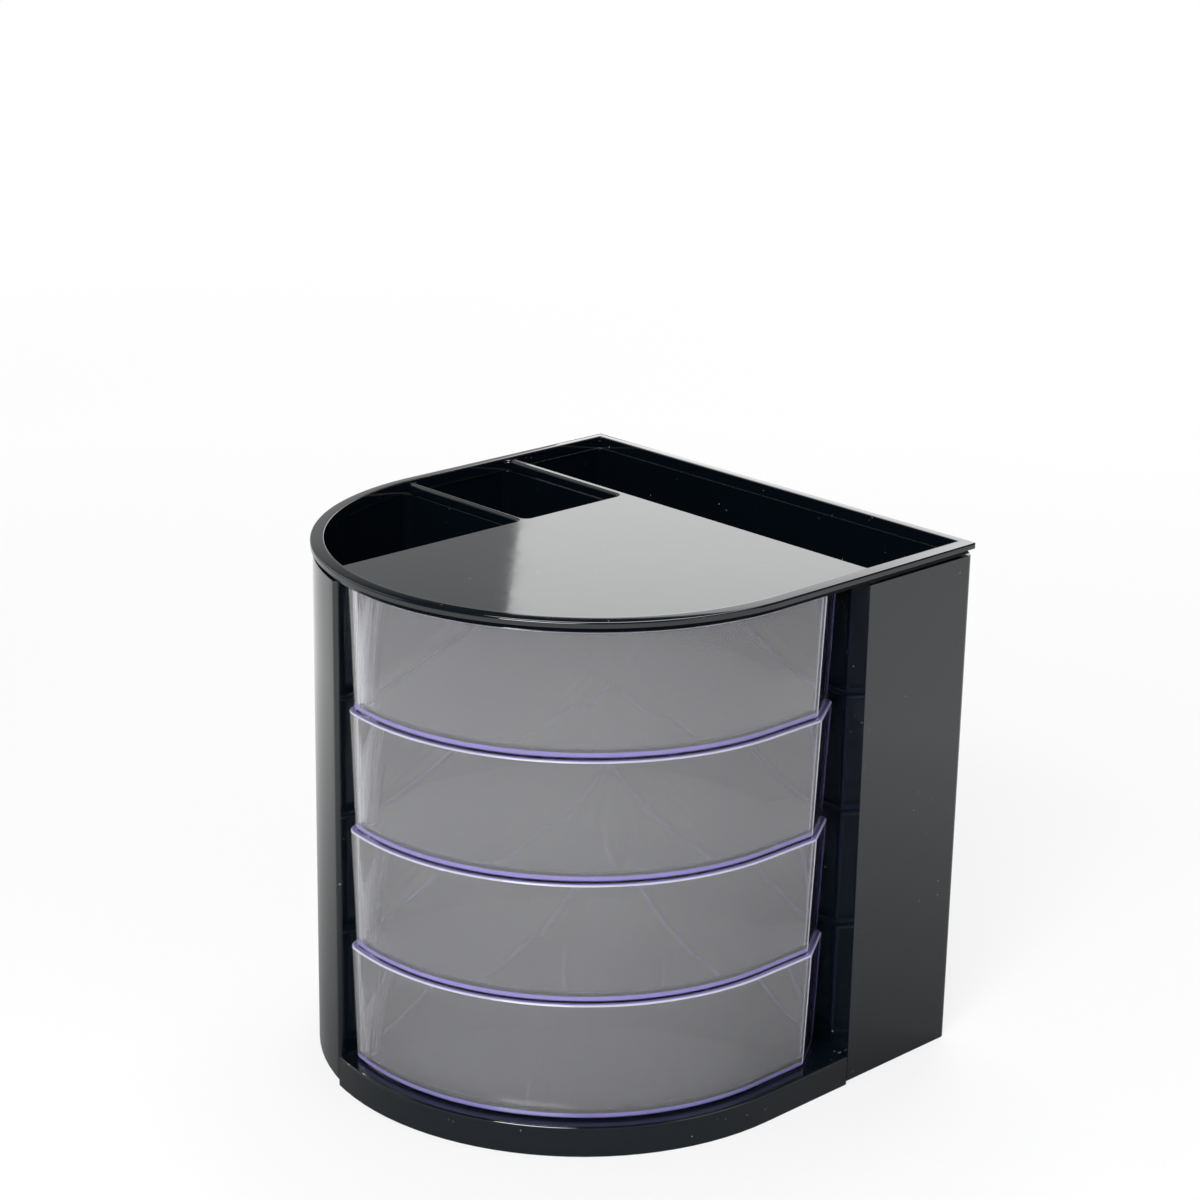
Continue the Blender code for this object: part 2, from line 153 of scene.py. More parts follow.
# Finishes
POLYSTYRENE_IOR = 1.59
NICK_DEPTH = 0.00002
BLACK = (0.002, 0.004, 0.0065)
DUST_ON_BLACK = (0.3, 0.29, 0.27)
DUST_ON_CLEAR = (0.8, 0.8, 0.8)
CLEAR = (0.95, 0.95, 0.985)
# Painted glow on the trays' edges
PAINTED_GLOW_VIOLET = (0.29, 0.26, 0.58)
# Painted highlight on the trays' corners and eased rims
PAINTED_HIGHLIGHT_VIOLET = (0.84, 0.82, 0.99)
# Painted shade on the finger cut
PAINTED_SHADE_VIOLET = (0.80, 0.82, 0.98)
STEEL_DARK = (0.56, 0.56, 0.55)
STEEL_BRIGHT = (0.66, 0.66, 0.66)

# Studio and camera, with angles in degrees and the lens in millimetres
WHITE = (1, 1, 1, 1)
FLOOR_COLOUR = (0.82, 0.82, 0.82, 1)
FLOOR_REACH = 4.0
FLOOR_DROP = 0.00005
CAMERA_PLACE = Vector((0.4038, -0.3824, 0.2803))
CAMERA_TURN = 46.22
CAMERA_DIP = 18.34
CAMERA_ROLL = 1.02
LENS_MM = 86.83
SENSOR_MM = 36.0
CLIP_START = 0.01

# From the centre of the half-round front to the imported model's origin
TO_FRAME = Vector((-0.0002, -0.00055, 0))


def closed_wire(work, start, moves):
    """A closed wire: each move is a point to go straight to, or (centre, degrees) to swing round."""
    last = first = work.verts.new(start)
    for move in moves:
        if isinstance(move, Vector):
            last = bmesh.ops.extrude_vert_indiv(work, verts=[last])["verts"][0]
            last.co = move
        else:
            centre, angle = move
            facet = WIDE_ARC_FACET if (last.co - centre).length > WIDE_ARC else TIGHT_ARC_FACET
            swung = bmesh.ops.spin(work, geom=[last], cent=centre, axis=(0, 0, 1), angle=radians(angle),
                                   steps=max(FEWEST_FACETS, round(abs(angle) / facet)))
            last = [part for part in swung["geom_last"] if isinstance(part, bmesh.types.BMVert)][0]
    work.edges.new((last, first))


def quarter_round(radius, count):
    """Steps of (inset, rise) that turn an upright side into a level face."""
    turns = [pi / 2 * index / count for index in range(count + 1)]
    return [(radius * (cos(low) - cos(high)), radius * (sin(high) - sin(low)))
            for low, high in zip(turns, turns[1:])]


def stepped(work, face, steps):
    """Draws a face in by each inset and moves it along its normal by each rise."""
    for inset, rise in steps:
        bmesh.ops.inset_region(work, faces=[face], thickness=inset, depth=rise, use_even_offset=True,
                               use_boundary=True)


def object_from(work, name):
    """A scene object on a bmesh."""
    mesh = bpy.data.meshes.new(name)
    work.to_mesh(mesh)
    work.free()
    piece = bpy.data.objects.new(name, mesh)
    bpy.context.scene.collection.objects.link(piece)
    return piece


def combine(piece, tool, operation):
    """Cuts a tool from a piece, or joins it on, and removes the tool."""
    change = piece.modifiers.new(operation, "BOOLEAN")
    change.operation = operation
    change.solver = "EXACT"
    change.object = tool
    mesh = bpy.data.meshes.new_from_object(piece.evaluated_get(bpy.context.evaluated_depsgraph_get()))
    piece.modifiers.clear()
    piece.data = mesh
    bpy.data.objects.remove(tool, do_unlink=True)


def hand_over(piece, materials, body, node):
    """Gives a piece its finishes and its body, and hides the imported node it stands for."""
    for material in materials:
        piece.data.materials.append(material)
    piece.data.shade_smooth()
    piece.data.set_sharp_from_angle(angle=SHARP_ANGLE)
    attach(piece, body)
    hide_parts(node)


def ease_edges(piece, width):
    """Takes the sharpness off a piece's edges."""
    change = piece.modifiers.new("eased edges", "BEVEL")
    change.width = width
    change.segments = EASE_FACETS
    change.limit_method = "ANGLE"
    change.angle_limit = SHARP_ANGLE
    change.harden_normals = True
    shading = piece.modifiers.new("even shading", "WEIGHTED_NORMAL")
    shading.keep_sharp = True
    shading.weight = 100


def moulding(node, name):
    """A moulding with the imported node's shape, its triangles merged to the faces they came from."""
    work = bmesh.new()
    work.from_mesh(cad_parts[node].data)
    bmesh.ops.remove_doubles(work, verts=work.verts, dist=SAME)
    bmesh.ops.dissolve_limit(work, angle_limit=FLAT_ANGLE, verts=work.verts, edges=work.edges)
    piece = object_from(work, name)
    ease_edges(piece, EDGE_EASE)
    return piece


def face_up(work, start, moves):
    """One face inside a closed wire, facing up."""
    closed_wire(work, start, moves)
    face = bmesh.ops.contextual_create(work, geom=work.edges[:])["faces"][0]
    face.normal_update()
    if face.normal.z < 0:
        bmesh.ops.reverse_faces(work, faces=[face])
    return face


def d_moves(radius, back):
    """Start and moves of a D: one half-round front, straight sides and back."""
    moves = [(Vector((0, 0, 0)), 180), Vector((radius, back, 0)), Vector((-radius, back, 0))]
    return Vector((-radius, 0, 0)), moves


def block(name, wire, bottom, top, corner_radius=0.0, sharp=()):
    """A wire filled and raised between two heights, with the upright edges near its sharp points rounded."""
    work = bmesh.new()
    start, moves = wire
    face = face_up(work, start, moves)
    stepped(work, face, [(0, top - bottom)])
    bmesh.ops.holes_fill(work, edges=[edge for edge in work.edges if edge.is_boundary])
    if corner_radius:
        upright = [edge for edge in work.edges
                   if abs(edge.verts[0].co.z - edge.verts[1].co.z) > (top - bottom) / 2
                   and any((edge.verts[0].co.xy - point.xy).length < NEAR for point in sharp)]
        bmesh.ops.bevel(work, geom=upright, offset=corner_radius, segments=ROUND_FACETS, profile=0.5,
                        affect="EDGES", material=-1)
    bmesh.ops.translate(work, vec=(0, 0, bottom), verts=work.verts)
    bmesh.ops.recalc_face_normals(work, faces=work.faces)
    return object_from(work, name)


def rim():
    """The band round the cover: slanted foot, ledge, rounded outer edge, sloped lip and rounded corners."""
    work = bmesh.new()
    face = face_up(work, *d_moves(RIM_RADIUS - RIM_STEP, RIM_BACK - RIM_STEP))
    foot = [(RIM_SLANT, RIM_FACE), (-RIM_SLANT - RIM_STEP, 0)]
    side = [(0, COVER_TOP - COVER_BOTTOM - RIM_FACE - RIM_ROUND - LIP_SLOPE)]
    lip = [(LIP_WIDTH, LIP_SLOPE), (LIP_FLAT, -LIP_FALL)]
    over = [(rise * LIP_EASE, -inset * LIP_EASE) for inset, rise in quarter_round(1, LIP_FACETS)]
    down = [(RIM_WIDTH - RIM_ROUND - LIP_WIDTH - LIP_FLAT - LIP_EASE,
             COVER_BOTTOM + LIP_EASE + LIP_FALL - COVER_TOP)]
    stepped(work, face, foot + side + quarter_round(RIM_ROUND, ROUND_FACETS) + lip + over + down)
    bmesh.ops.delete(work, geom=[face], context="FACES_ONLY")
    bmesh.ops.bridge_loops(work, edges=[edge for edge in work.edges if edge.is_boundary])
    bmesh.ops.translate(work, vec=(0, 0, COVER_BOTTOM), verts=work.verts)
    bmesh.ops.recalc_face_normals(work, faces=work.faces)
    piece = object_from(work, "top_cover_moulding")
    start, moves = d_moves(RIM_RADIUS + COVER_EASE, RIM_BACK + COVER_EASE)
    outline = block("outline", (start, moves), COVER_BOTTOM - RIM_FACE, COVER_TOP + RIM_FACE, RIM_CORNER,
                    moves[1:])
    combine(piece, outline, "INTERSECT")
    return piece


def openings():
    """Cutters for the long box along the back and the two cells at the left."""
    top = COVER_TOP
    bottom = COVER_BOTTOM - RIM_FACE
    long_box = [Vector((-OPENING_REACH, LONG_BOX_FRONT, 0)), Vector((OPENING_REACH, LONG_BOX_FRONT, 0)),
                Vector((OPENING_REACH, LONG_BOX_BACK, 0)), Vector((-OPENING_REACH, LONG_BOX_BACK, 0))]
    rear = [Vector((-OPENING_REACH, REAR_CELL_FRONT, 0)), Vector((CELL_RIGHT, REAR_CELL_FRONT, 0)),
            Vector((CELL_RIGHT, REAR_CELL_BACK, 0)), Vector((-OPENING_REACH, REAR_CELL_BACK, 0))]
    inner = Vector((CELL_RIGHT, FRONT_CELL_BACK, 0))
    outer = Vector((-sqrt(OPENING_REACH ** 2 - FRONT_CELL_BACK ** 2), FRONT_CELL_BACK, 0))
    tip = Vector((CELL_RIGHT, -sqrt(OPENING_REACH ** 2 - CELL_RIGHT ** 2), 0))
    swing = degrees(outer.xy.angle_signed(tip.xy))
    front = (inner, [outer, (Vector((0, 0, 0)), abs(swing))])
    return [block("long box opening", (long_box[0], long_box[1:]), bottom, top, OPENING_CORNER, long_box),
            block("rear opening", (rear[0], rear[1:]), bottom, top, OPENING_CORNER, rear),
            block("front opening", front, bottom, top, OPENING_CORNER, [inner])]


def round_wall_tops(piece):
    """Rounds the top edges round the cover's openings."""
    work = bmesh.new()
    work.from_mesh(piece.data)
    bmesh.ops.dissolve_limit(work, angle_limit=FLAT_ANGLE, verts=work.verts, edges=work.edges)
    edges = []
    for edge in work.edges:
        middle = (edge.verts[0].co + edge.verts[1].co) / 2
        outside = max(abs(middle.x), middle.xy.length if middle.y < 0 else 0) > WEB_RADIUS - LIP_EASE
        level = all(abs(end.co.z - PLATE_TOP) < SAME for end in edge.verts)
        if level and not outside and middle.y < WEB_BACK - LIP_EASE / 2 and edge.is_manifold:
            if min(abs(side.normal.z) for side in edge.link_faces) < STEEP_COSINE:
                edges.append(edge)
    bmesh.ops.bevel(work, geom=edges, offset=WALL_TOP_ROUND, segments=WALL_TOP_FACETS, profile=0.5,
                    affect="EDGES", material=-1)
    work.to_mesh(piece.data)
    work.free()


def cover():
    """The top cover: rim, plate over the trays, strips between the openings, locating rib and rod socket."""
    web = block("web", d_moves(WEB_RADIUS, WEB_BACK), COVER_BOTTOM, PLATE_TOP)
    for cutter in openings():
        combine(web, cutter, "DIFFERENCE")
    round_wall_tops(web)
    inner_left = RIB_LEFT + RIB_THICKNESS
    inner_back = RIB_BACK - RIB_THICKNESS
    corners = [Vector((RIB_LEFT, RIB_FRONT, 0)), Vector((inner_left, RIB_FRONT, 0)),
               Vector((inner_left, inner_back, 0)), Vector((RIB_RIGHT, inner_back, 0)),
               Vector((RIB_RIGHT, RIB_BACK, 0)), Vector((RIB_LEFT, RIB_BACK, 0))]
    rib = block("rib", (corners[0], corners[1:]), COVER_BOTTOM - RIB_DEPTH, COVER_BOTTOM + RIM_FACE)
    socket = cone("socket", BORE_RADIUS, BORE_RADIUS, COVER_BOTTOM - RIM_FACE, SOCKET_TOP)
    piece = rim()
    combine(piece, web, "UNION")
    combine(piece, rib, "UNION")
    combine(piece, socket, "DIFFERENCE")
    piece.data.transform(Matrix.Translation(TO_FRAME))
    ease_edges(piece, COVER_EASE)
    return piece


def tray_face(work):
    """A tray's outline at its rim as one face, and its sharp corners: place, turn and finish."""
    cut_front = Vector((TRAY_RADIUS, TRAY_BACK - FINGER_CUT_DEPTH, 0))
    cut_back = Vector((TRAY_RADIUS - FINGER_CUT_WIDTH, TRAY_BACK, 0))
    back_left = Vector((TRAY_LEFT, TRAY_BACK, 0))
    face = face_up(work, Vector((TRAY_LEFT, PIVOT_Y, 0)), [
        (PIVOT, PIVOT_NORMAL - 180), (Vector((0, 0, 0)), 360 - PIVOT_NORMAL), cut_front, cut_back, back_left,
    ])
    cut = atan2(FINGER_CUT_WIDTH, FINGER_CUT_DEPTH)
    # The finger cut's front corner takes the painted highlight finish, its back corner the painted glow
    # finish
    return face, [(cut_front, cut, PAINTED_HIGHLIGHT_CORNER), (cut_back, pi / 2 - cut, PAINTED_GLOW_EDGE), (back_left, pi / 2, SIDE)]


def slope(height):
    """How far a tray's side leans in over a height."""
    return TRAY_DRAFT * height / TRAY_HEIGHT


def tray_shell(upward):
    """One skin of a tray, from its rim's outer edge down: the inside if it faces up, or the outside."""
    work = bmesh.new()
    face, corners = tray_face(work)
    if not upward:
        bmesh.ops.reverse_faces(work, faces=[face])
    if upward:
        ease = quarter_round(RIM_EASE, EASE_FACETS)
        flat = [(TRAY_WALL - 2 * RIM_EASE, 0)]
        over = [(rise, -inset) for inset, rise in ease]
        drop = TRAY_HEIGHT - TRAY_FLOOR - RIM_EASE - INNER_ROUND
        into_floor = [(inset, -rise) for inset, rise in quarter_round(INNER_ROUND, ROUND_FACETS)]
        stepped(work, face, ease + flat + over + [(slope(drop), -drop)] + into_floor)
    else:
        drop = TRAY_HEIGHT - RIM_EASE - FOOT_BAND
        band = FOOT_BAND - FOOT_ROUND
        into_foot = quarter_round(FOOT_ROUND, FOOT_FACETS)
        stepped(work, face, [(slope(drop), drop), (slope(band), band)] + into_foot)
    bmesh.ops.translate(work, vec=(0, 0, TRAY_HEIGHT - RIM_EASE), verts=work.verts)
    return work, corners


def rounded_corners(work, corners, tone):
    """Rounds the upright edges at a tray's sharp corners, and marks the new faces' finish: painted highlight
    at the finger cut's front corner, painted glow at its back corner.
    """
    for point, turn, mark in corners:
        chain = [edge for edge in work.edges
                 if all((end.co.xy - point.xy).length < CORNER_REACH for end in edge.verts)
                 and abs(edge.verts[0].co.z - edge.verts[1].co.z) > LEVEL]
        made = bmesh.ops.bevel(work, geom=chain, offset=TRAY_CORNER * tan(turn / 2), offset_type="OFFSET",
                               segments=ROUND_FACETS, profile=0.5, affect="EDGES", material=-1)
        for face in made["faces"]:
            face[tone] = mark


def finger_cut(work, corners, tone):
    """Marks the cut corner's faces clearer and bluer than the sides, as painted shade, with a violet strip
    of painted glow along their back edge.
    """
    front, back = (place for place, turn, mark in corners[:2])
    along = (back - front).normalized()
    strip = back - along * FINGER_CUT_EDGE
    work.normal_update()

    def cut_faces():
        """The side faces that lie along the cut."""
        return [face for face in work.faces
                if face[tone] == SIDE and face.calc_center_median().x > TRAY_RADIUS / 2
                and abs(face.normal.dot(along)) < SQUARE_COSINE and abs(face.normal.z) < UPRIGHT_COSINE]

    faces = cut_faces()
    edges = dict.fromkeys(edge for face in faces for edge in face.edges)
    points = dict.fromkeys(point for face in faces for point in face.verts)
    bmesh.ops.bisect_plane(work, geom=[*faces, *edges, *points], plane_co=strip, plane_no=along, dist=SAME)
    for face in cut_faces():
        face[tone] = PAINTED_GLOW_EDGE if (face.calc_center_median() - strip).dot(along) > 0 else PAINTED_SHADE_CUT


def cone(name, low_radius, high_radius, bottom, top):
    """A cone or cylinder on the pivot between two heights."""
    work = bmesh.new()
    place = Matrix.Translation((PIVOT_X, PIVOT_Y, (bottom + top) / 2))
    bmesh.ops.create_cone(work, cap_ends=True, segments=BARREL_FACETS, radius1=low_radius,
                          radius2=high_radius, depth=top - bottom, matrix=place)
    return object_from(work, name)


def tray(name, bottom, rise):
    """A clear moulded tray: drafted sides, rounded foot, eased rim, and a bored barrel for the rod.

    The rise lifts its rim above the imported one's, towards the cover.
    """
    work, corners = tray_shell(True)
    outside, corners = tray_shell(False)
    skin = bpy.data.meshes.new("skin")
    outside.to_mesh(skin)
    outside.free()
    work.from_mesh(skin)
    bpy.data.meshes.remove(skin)
    bmesh.ops.remove_doubles(work, verts=work.verts, dist=SAME)
    tone = work.faces.layers.int.new("tone")
    # Painted glow on the rim's flat top and on the foot band, painted highlight on the rim's eased edge
    for face in work.faces:
        low = min(point.co.z for point in face.verts)
        high = max(point.co.z for point in face.verts)
        if low > TRAY_HEIGHT - RIM_EASE - LEVEL:
            face[tone] = PAINTED_GLOW_EDGE if high - low < SAME else PAINTED_HIGHLIGHT_CORNER
        elif high < FOOT_BAND + SAME and high - low > SAME:
            face[tone] = PAINTED_GLOW_EDGE
    rounded_corners(work, corners, tone)
    finger_cut(work, corners, tone)
    upper = [point for point in work.verts if point.co.z > TRAY_HEIGHT / 2]
    bmesh.ops.translate(work, vec=(0, 0, rise), verts=upper)
    bmesh.ops.recalc_face_normals(work, faces=work.faces)
    piece = object_from(work, name)
    wide = BARREL_RADIUS - BARREL_TUCK
    barrel = cone("barrel", wide - TRAY_DRAFT, wide, TRAY_FLOOR / 2, TRAY_HEIGHT + rise - BARREL_TOP_DROP)
    combine(piece, barrel, "UNION")
    bore = cone("bore", BORE_RADIUS, BORE_RADIUS, -TRAY_WALL, TRAY_HEIGHT + TRAY_WALL)
    combine(piece, bore, "DIFFERENCE")
    piece.data.transform(Matrix.Translation(TO_FRAME + Vector((0, 0, bottom))))
    for face, mark in zip(piece.data.polygons, piece.data.attributes["tone"].data):
        face.material_index = mark.value
    return piece


def pivot_rod():
    """A drawn steel rod with chamfered ends, turned from its half profile."""
    work = bmesh.new()
    end = ROD_RADIUS - ROD_CHAMFER
    profile = [(0, ROD_BOTTOM), (end, ROD_BOTTOM), (ROD_RADIUS, ROD_BOTTOM + ROD_CHAMFER),
               (ROD_RADIUS, ROD_TOP - ROD_CHAMFER), (end, ROD_TOP), (0, ROD_TOP)]
    points = [work.verts.new((PIVOT_X + reach, PIVOT_Y, height)) for reach, height in profile]
    edges = [work.edges.new(pair) for pair in zip(points, points[1:])]
    bmesh.ops.spin(work, geom=points + edges, cent=PIVOT, axis=(0, 0, 1), angle=2 * pi, steps=ROD_FACETS,
                   use_merge=True)
    bmesh.ops.remove_doubles(work, verts=work.verts, dist=SAME)
    bmesh.ops.recalc_face_normals(work, faces=work.faces)
    bmesh.ops.translate(work, vec=TO_FRAME, verts=work.verts)
    return object_from(work, "steel_pivot_rod")


# Finishes

def new_group(name, sockets_in, sockets_out):
    """An empty shader node group with named sockets."""
    group = bpy.data.node_groups.new(name, "ShaderNodeTree")
    for label, kind, value in sockets_in:
        socket = group.interface.new_socket(label, in_out="INPUT", socket_type=kind)
        if value is not None:
            socket.default_value = value
    for label, kind in sockets_out:
        group.interface.new_socket(label, in_out="OUTPUT", socket_type=kind)
    return group, group.nodes.new("NodeGroupInput"), group.nodes.new("NodeGroupOutput")


def new_material(name):
    """A material, its node tree and its shader."""
    material = bpy.data.materials.new(name)
    material.use_nodes = True
    return material, material.node_tree, material.node_tree.nodes["Principled BSDF"]


def put(tree, kind, **settings):
    """A node with its properties set."""
    node = tree.nodes.new(kind)
    for label, value in settings.items():
        setattr(node, label, value)
    return node


def link_or_set(tree, socket, value):
    """Joins a socket to another one, or sets its value."""
    if isinstance(value, bpy.types.NodeSocket):
        tree.links.new(value, socket)
    else:
        socket.default_value = value


def feed(tree, node, **values):
    """Sets or links a node's inputs by name, with spaces as underscores."""
    for label, value in values.items():
        link_or_set(tree, node.inputs[label.replace("_", " ")], value)


def worked_out(tree, operation, *values):
    """The result of a math operation on two or three values."""
    node = put(tree, "ShaderNodeMath", operation=operation)
    for socket, value in zip(node.inputs, values):
        link_or_set(tree, socket, value)
    return node.outputs["Value"]


def ranged(tree, value, **limits):
    """A value taken from one range to another."""
    node = put(tree, "ShaderNodeMapRange")
    feed(tree, node, Value=value, **limits)
    return node.outputs["Result"]


def noise(tree, vector, **settings):
    """Soft noise over a surface."""
    node = put(tree, "ShaderNodeTexNoise")
    feed(tree, node, Vector=vector, **settings)
    return node.outputs["Fac"]


def chosen(tree, mask, without, with_mask):
    """One of two values, by a mask."""
    node = put(tree, "ShaderNodeMix", data_type="FLOAT")
    feed(tree, node, Factor=mask, A=without, B=with_mask)
    return node.outputs[0]


def blended(tree, mask, low, high):
    """Mixes two colours by a mask."""
    mix = put(tree, "ShaderNodeMix", data_type="RGBA")
    tree.links.new(mask, mix.inputs[0])
    mix.inputs[6].default_value = (*low, 1)
    mix.inputs[7].default_value = (*high, 1)
    return mix.outputs[2]


def on_object(tree):
    """Where a point lies on its piece."""
    return put(tree, "ShaderNodeTexCoord").outputs["Object"]


def hairlines(group, vector, turn, stretch):
    """Thin scratches that lie one way."""
    lie = put(group, "ShaderNodeMapping")
    feed(group, lie, Vector=vector, Rotation=(turn, turn * 0.7, turn * 1.9), Scale=(stretch, 22.0, 22.0))
    streaks = noise(group, lie.outputs["Vector"], Scale=1.0, Detail=1.0, Roughness=0.4)
    return ranged(group, streaks, From_Min=0.71, From_Max=0.76)


def handling_group():
    """Marks that polished plastic picks up: smudges, hairline scratches and dust, each as a mask."""
    group, given, result = new_group("handling marks", [
        ("Vector", "NodeSocketVector", None), ("Smudge Size", "NodeSocketFloat", 60.0),
        ("Scratch Amount", "NodeSocketFloat", 0.5), ("Dust Amount", "NodeSocketFloat", 0.5),
    ], [("Smudge", "NodeSocketFloat"), ("Scratch", "NodeSocketFloat"), ("Dust", "NodeSocketFloat")])
    vector = given.outputs["Vector"]
    smudge = noise(group, vector, Scale=given.outputs["Smudge Size"], Detail=4.0, Roughness=0.55,
                   Distortion=0.6)
    scratches = worked_out(group, "MAXIMUM", hairlines(group, vector, 0.4, 900.0),
                           hairlines(group, vector, 1.35, 700.0))
    specks = put(group, "ShaderNodeTexVoronoi", feature="F1")
    feed(group, specks, Vector=vector, Scale=420.0, Randomness=1.0)
    grains = ranged(group, specks.outputs["Distance"], From_Min=0.09, From_Max=0.05)
    gathered = ranged(group, noise(group, vector, Scale=150.0, Detail=2.0), From_Min=0.52, From_Max=0.66)
    dust = worked_out(group, "MULTIPLY", grains, gathered)
    feed(group, result, Smudge=ranged(group, smudge, From_Min=0.42, From_Max=0.68),
         Scratch=worked_out(group, "MULTIPLY", scratches, given.outputs["Scratch Amount"]),
         Dust=worked_out(group, "MULTIPLY", dust, given.outputs["Dust Amount"]))
    return group


def skin_group():
    """The faint waviness of an injection-moulded face, as a height."""
    group, given, result = new_group("moulded skin", [
        ("Vector", "NodeSocketVector", None), ("Wave Size", "NodeSocketFloat", 180.0),
    ], [("Height", "NodeSocketFloat")])
    wave = noise(group, given.outputs["Vector"], Scale=given.outputs["Wave Size"], Detail=2.0, Roughness=0.4)
    feed(group, result, Height=wave)
    return group


HANDLING = handling_group()
SKIN = skin_group()


def polished_plastic(name, smudge_size, scratch, dust, wave_size, wave_height):
    """A polished plastic's common nodes: the shader, and its smudge, scratch and dust masks."""
    material, tree, shader = new_material(name)
    place = on_object(tree)
    marks = put(tree, "ShaderNodeGroup", node_tree=HANDLING)
    feed(tree, marks, Vector=place, Smudge_Size=smudge_size, Scratch_Amount=scratch, Dust_Amount=dust)
    skin = put(tree, "ShaderNodeGroup", node_tree=SKIN)
    feed(tree, skin, Vector=place, Wave_Size=wave_size)
    waves = put(tree, "ShaderNodeBump")
    feed(tree, waves, Height=skin.outputs["Height"], Strength=1.0, Distance=wave_height)
    nicks = put(tree, "ShaderNodeBump", invert=True)
    feed(tree, nicks, Height=marks.outputs["Scratch"], Strength=0.5, Distance=NICK_DEPTH,
         Normal=waves.outputs["Normal"])
    feed(tree, shader, IOR=POLYSTYRENE_IOR, Normal=nicks.outputs["Normal"])
    return material, tree, shader, marks.outputs


def worn_roughness(tree, marks, polished, smudged, scratched):
    """Roughness that smudges and scratches raise."""
    base = ranged(tree, marks["Smudge"], To_Min=polished, To_Max=smudged)
    return worked_out(tree, "MULTIPLY_ADD", marks["Scratch"], scratched, base)


def black_plastic(name):
    """Black polystyrene with a high gloss, a little dust and fine hairlines."""
    material, tree, shader, marks = polished_plastic(name, smudge_size=70.0, scratch=0.25, dust=0.7,
                                                     wave_size=160.0, wave_height=0.00001)
    feed(tree, shader, Base_Color=blended(tree, marks["Dust"], BLACK, DUST_ON_BLACK),
         Roughness=worn_roughness(tree, marks, polished=0.05, smudged=0.075, scratched=0.1))
    return material


def clear_plastic(name, colour, clearness, polished):
    """Clear polystyrene with a given colour and clearness: open faces let light through, and the violet and
    pale copies on the trays' edges and corners are painted glow and painted highlights.
    """
    material, tree, shader, marks = polished_plastic(name, smudge_size=90.0, scratch=0.3, dust=0.35,
                                                     wave_size=140.0, wave_height=0.0000008)
    feed(tree, shader, Transmission_Weight=clearness,
         Base_Color=blended(tree, marks["Dust"], colour, DUST_ON_CLEAR),
         Roughness=worn_roughness(tree, marks, polished=polished, smudged=polished + 0.03, scratched=0.25))
    return material


def drawn_steel(name):
    """Bright drawn steel with fine lines along the rod."""
    material, tree, shader = new_material(name)
    lie = put(tree, "ShaderNodeMapping")
    feed(tree, lie, Vector=on_object(tree), Scale=(6000.0, 6000.0, 60.0))
    lines = noise(tree, lie.outputs["Vector"], Scale=1.0, Detail=2.0)
    feed(tree, shader, Metallic=1.0, Base_Color=blended(tree, lines, STEEL_DARK, STEEL_BRIGHT),
         Roughness=ranged(tree, lines, From_Min=0.35, From_Max=0.65, To_Min=0.12, To_Max=0.3))
    return material


# Studio

def seen_rays(tree):
    """The light path, and one where a camera, mirror or glass ray looks but zero in gathered light."""
    rays = put(tree, "ShaderNodeLightPath").outputs
    most = worked_out(tree, "MAXIMUM", rays["Is Camera Ray"], rays["Is Glossy Ray"])
    return rays, worked_out(tree, "MAXIMUM", most, rays["Is Transmission Ray"])


def lay_floor():
    """A pale floor that reads white and keeps the holder's shadow, with painted shade round the holder's
    foot: its glow is a little darker near the holder, and much darker in what mirrors show.
    """
    work = bmesh.new()
    bmesh.ops.create_grid(work, x_segments=1, y_segments=1, size=FLOOR_REACH)
    bmesh.ops.translate(work, vec=(0, 0, -FLOOR_DROP), verts=work.verts)
    floor = object_from(work, "floor")
    material, tree, shader = new_material("pale floor")
    feed(tree, shader, Base_Color=FLOOR_COLOUR, Roughness=0.9, Specular_IOR_Level=0.1)
    rays, seen = seen_rays(tree)
    length = put(tree, "ShaderNodeVectorMath", operation="LENGTH")
    feed(tree, length, Vector=on_object(tree))
    away = length.outputs["Value"]
    # Painted shade round the holder's foot: the glow seen directly dims a little near the holder, the glow
    # in mirrors much more
    level = ranged(tree, away, From_Min=0.1, From_Max=0.5, To_Min=0.93, To_Max=1.0)
    painted_shade_in_mirrors = ranged(tree, away, From_Min=0.065, From_Max=0.26, To_Min=0.12, To_Max=0.97)
    bright = put(tree, "ShaderNodeEmission")
    feed(tree, bright, Color=WHITE, Strength=chosen(tree, rays["Is Glossy Ray"], level, painted_shade_in_mirrors))
    share = ranged(tree, away, From_Min=0.2, From_Max=0.8, To_Min=0.8, To_Max=1.0)
    mix = put(tree, "ShaderNodeMixShader")
    link_or_set(tree, mix.inputs[0], worked_out(tree, "MULTIPLY", seen, share))
    link_or_set(tree, mix.inputs[1], shader.outputs["BSDF"])
    link_or_set(tree, mix.inputs[2], bright.outputs["Emission"])
    feed(tree, tree.nodes["Material Output"], Surface=mix.outputs["Shader"])
    floor.data.materials.append(material)


def light_world():
    """White all round to the eye, plain soft light, and a darker ceiling in what mirrors show."""
    world = bpy.data.worlds.new("studio")
    bpy.context.scene.world = world
    world.use_nodes = True
    tree = world.node_tree
    rays, seen = seen_rays(tree)
    direction = put(tree, "ShaderNodeSeparateXYZ")
    feed(tree, direction, Vector=put(tree, "ShaderNodeTexCoord").outputs["Generated"])
    strength = ranged(tree, seen, To_Min=0.3, To_Max=1.0)
    ceiling = ranged(tree, direction.outputs["Z"], From_Min=0.3, From_Max=0.5, To_Min=0.5, To_Max=0.04)
    feed(tree, tree.nodes["Background"], Color=WHITE,
         Strength=chosen(tree, rays["Is Glossy Ray"], strength, ceiling))


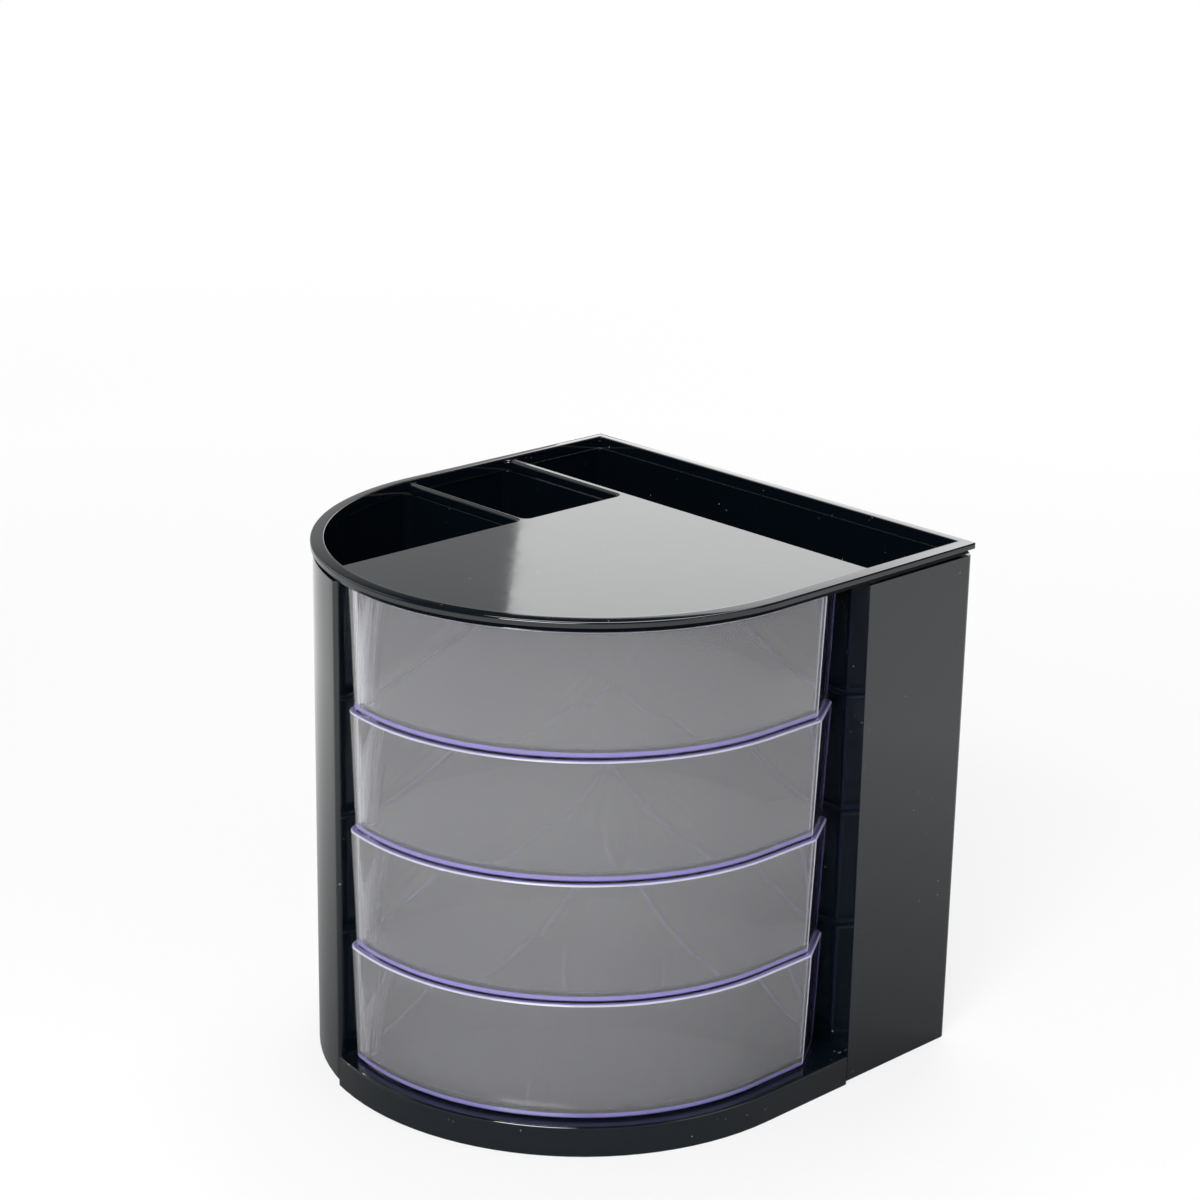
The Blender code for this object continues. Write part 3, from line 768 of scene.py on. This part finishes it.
def soft_box(name, place, aim, width, height, watts, spread=180):
    """A rectangular lamp that faces a point, with a spread in degrees."""
    lamp = bpy.data.lights.new(name, "AREA")
    lamp.shape = "RECTANGLE"
    lamp.size = width
    lamp.size_y = height
    lamp.energy = watts
    lamp.spread = radians(spread)
    item = bpy.data.objects.new(name, lamp)
    item.location = place
    item.rotation_euler = (Vector(aim) - Vector(place)).to_track_quat("-Z", "Y").to_euler()
    bpy.context.scene.collection.objects.link(item)


def set_camera():
    """The camera, where the photo's straight edges and round front put it."""
    turn = radians(CAMERA_TURN)
    dip = radians(CAMERA_DIP)
    roll = radians(CAMERA_ROLL)
    forward = Vector((-sin(turn) * cos(dip), cos(turn) * cos(dip), -sin(dip)))
    level = Vector((cos(turn), sin(turn), 0))
    upright = level.cross(forward)
    right = cos(roll) * level + sin(roll) * upright
    up = cos(roll) * upright - sin(roll) * level
    lens = bpy.data.cameras.new("camera")
    lens.lens = LENS_MM
    lens.sensor_width = SENSOR_MM
    lens.sensor_fit = "HORIZONTAL"
    lens.clip_start = CLIP_START
    camera = bpy.data.objects.new("camera", lens)
    place = CAMERA_PLACE + TO_FRAME
    camera.matrix_world = Matrix((
        (right.x, up.x, -forward.x, place.x), (right.y, up.y, -forward.y, place.y),
        (right.z, up.z, -forward.z, place.z), (0, 0, 0, 1),
    ))
    bpy.context.scene.collection.objects.link(camera)
    bpy.context.scene.camera = camera


# The holder in its finishes

black = black_plastic("gloss black polystyrene")
clear = clear_plastic("clear polystyrene", CLEAR, clearness=0.92, polished=0.0)
# Less clear and violet, so the trays' edges read as glowing: painted glow
edge = clear_plastic("clear polystyrene edge with painted glow", PAINTED_GLOW_VIOLET, clearness=0.35, polished=0.06)
# Pale and half clear, so corners and eased rims read as bright lines: painted highlight
corner = clear_plastic("clear polystyrene corner with painted highlight", PAINTED_HIGHLIGHT_VIOLET, clearness=0.5, polished=0.04)
# Clearer and bluer than the sides, so the finger cut reads darker: painted shade
cut = clear_plastic("clear polystyrene finger cut with painted shade", PAINTED_SHADE_VIOLET, clearness=0.995, polished=0.0)
steel = drawn_steel("drawn steel")

for node in ("main_body", "base"):
    hand_over(moulding(node, node + "_moulding"), [black], "holder", node)
hand_over(cover(), [black], "holder", "top_cover")
hand_over(pivot_rod(), [steel], "holder", "pivot_rod")
for number in range(1, TRAY_COUNT + 1):
    bottom = LOWEST_TRAY + (TRAY_COUNT - number) * TRAY_PITCH
    made = tray(f"swing_tray_{number}", bottom, TOP_TRAY_RISE if number == 1 else 0)
    hand_over(made, [clear, edge, corner, cut], f"drawer_{number}", f"drawer_{number}")

set_camera()
lay_floor()
light_world()
soft_box("rear box", place=(-0.44, 0.79, 0.42), aim=(0.0, 0.0, 0.08), width=0.65, height=0.5, watts=1.75)
soft_box("top key", place=(-0.22, 0.3, 0.9), aim=(0.0, 0.0, 0.05), width=0.5, height=0.5, watts=5.0)
soft_box("front box", place=(0.4, -0.75, 0.6), aim=(0.24, -0.32, 0.0), width=0.5, height=0.4, watts=3.2,
         spread=70)
soft_box("left box", place=(-0.5, -0.1, 0.4), aim=(-0.1, -0.02, 0.0), width=0.4, height=0.4, watts=0.45)
soft_box("right box", place=(0.8, 0.2, 0.45), aim=(0.0, 0.0, 0.05), width=0.5, height=0.5, watts=0.7)
bpy.context.scene.view_settings.view_transform = "Standard"
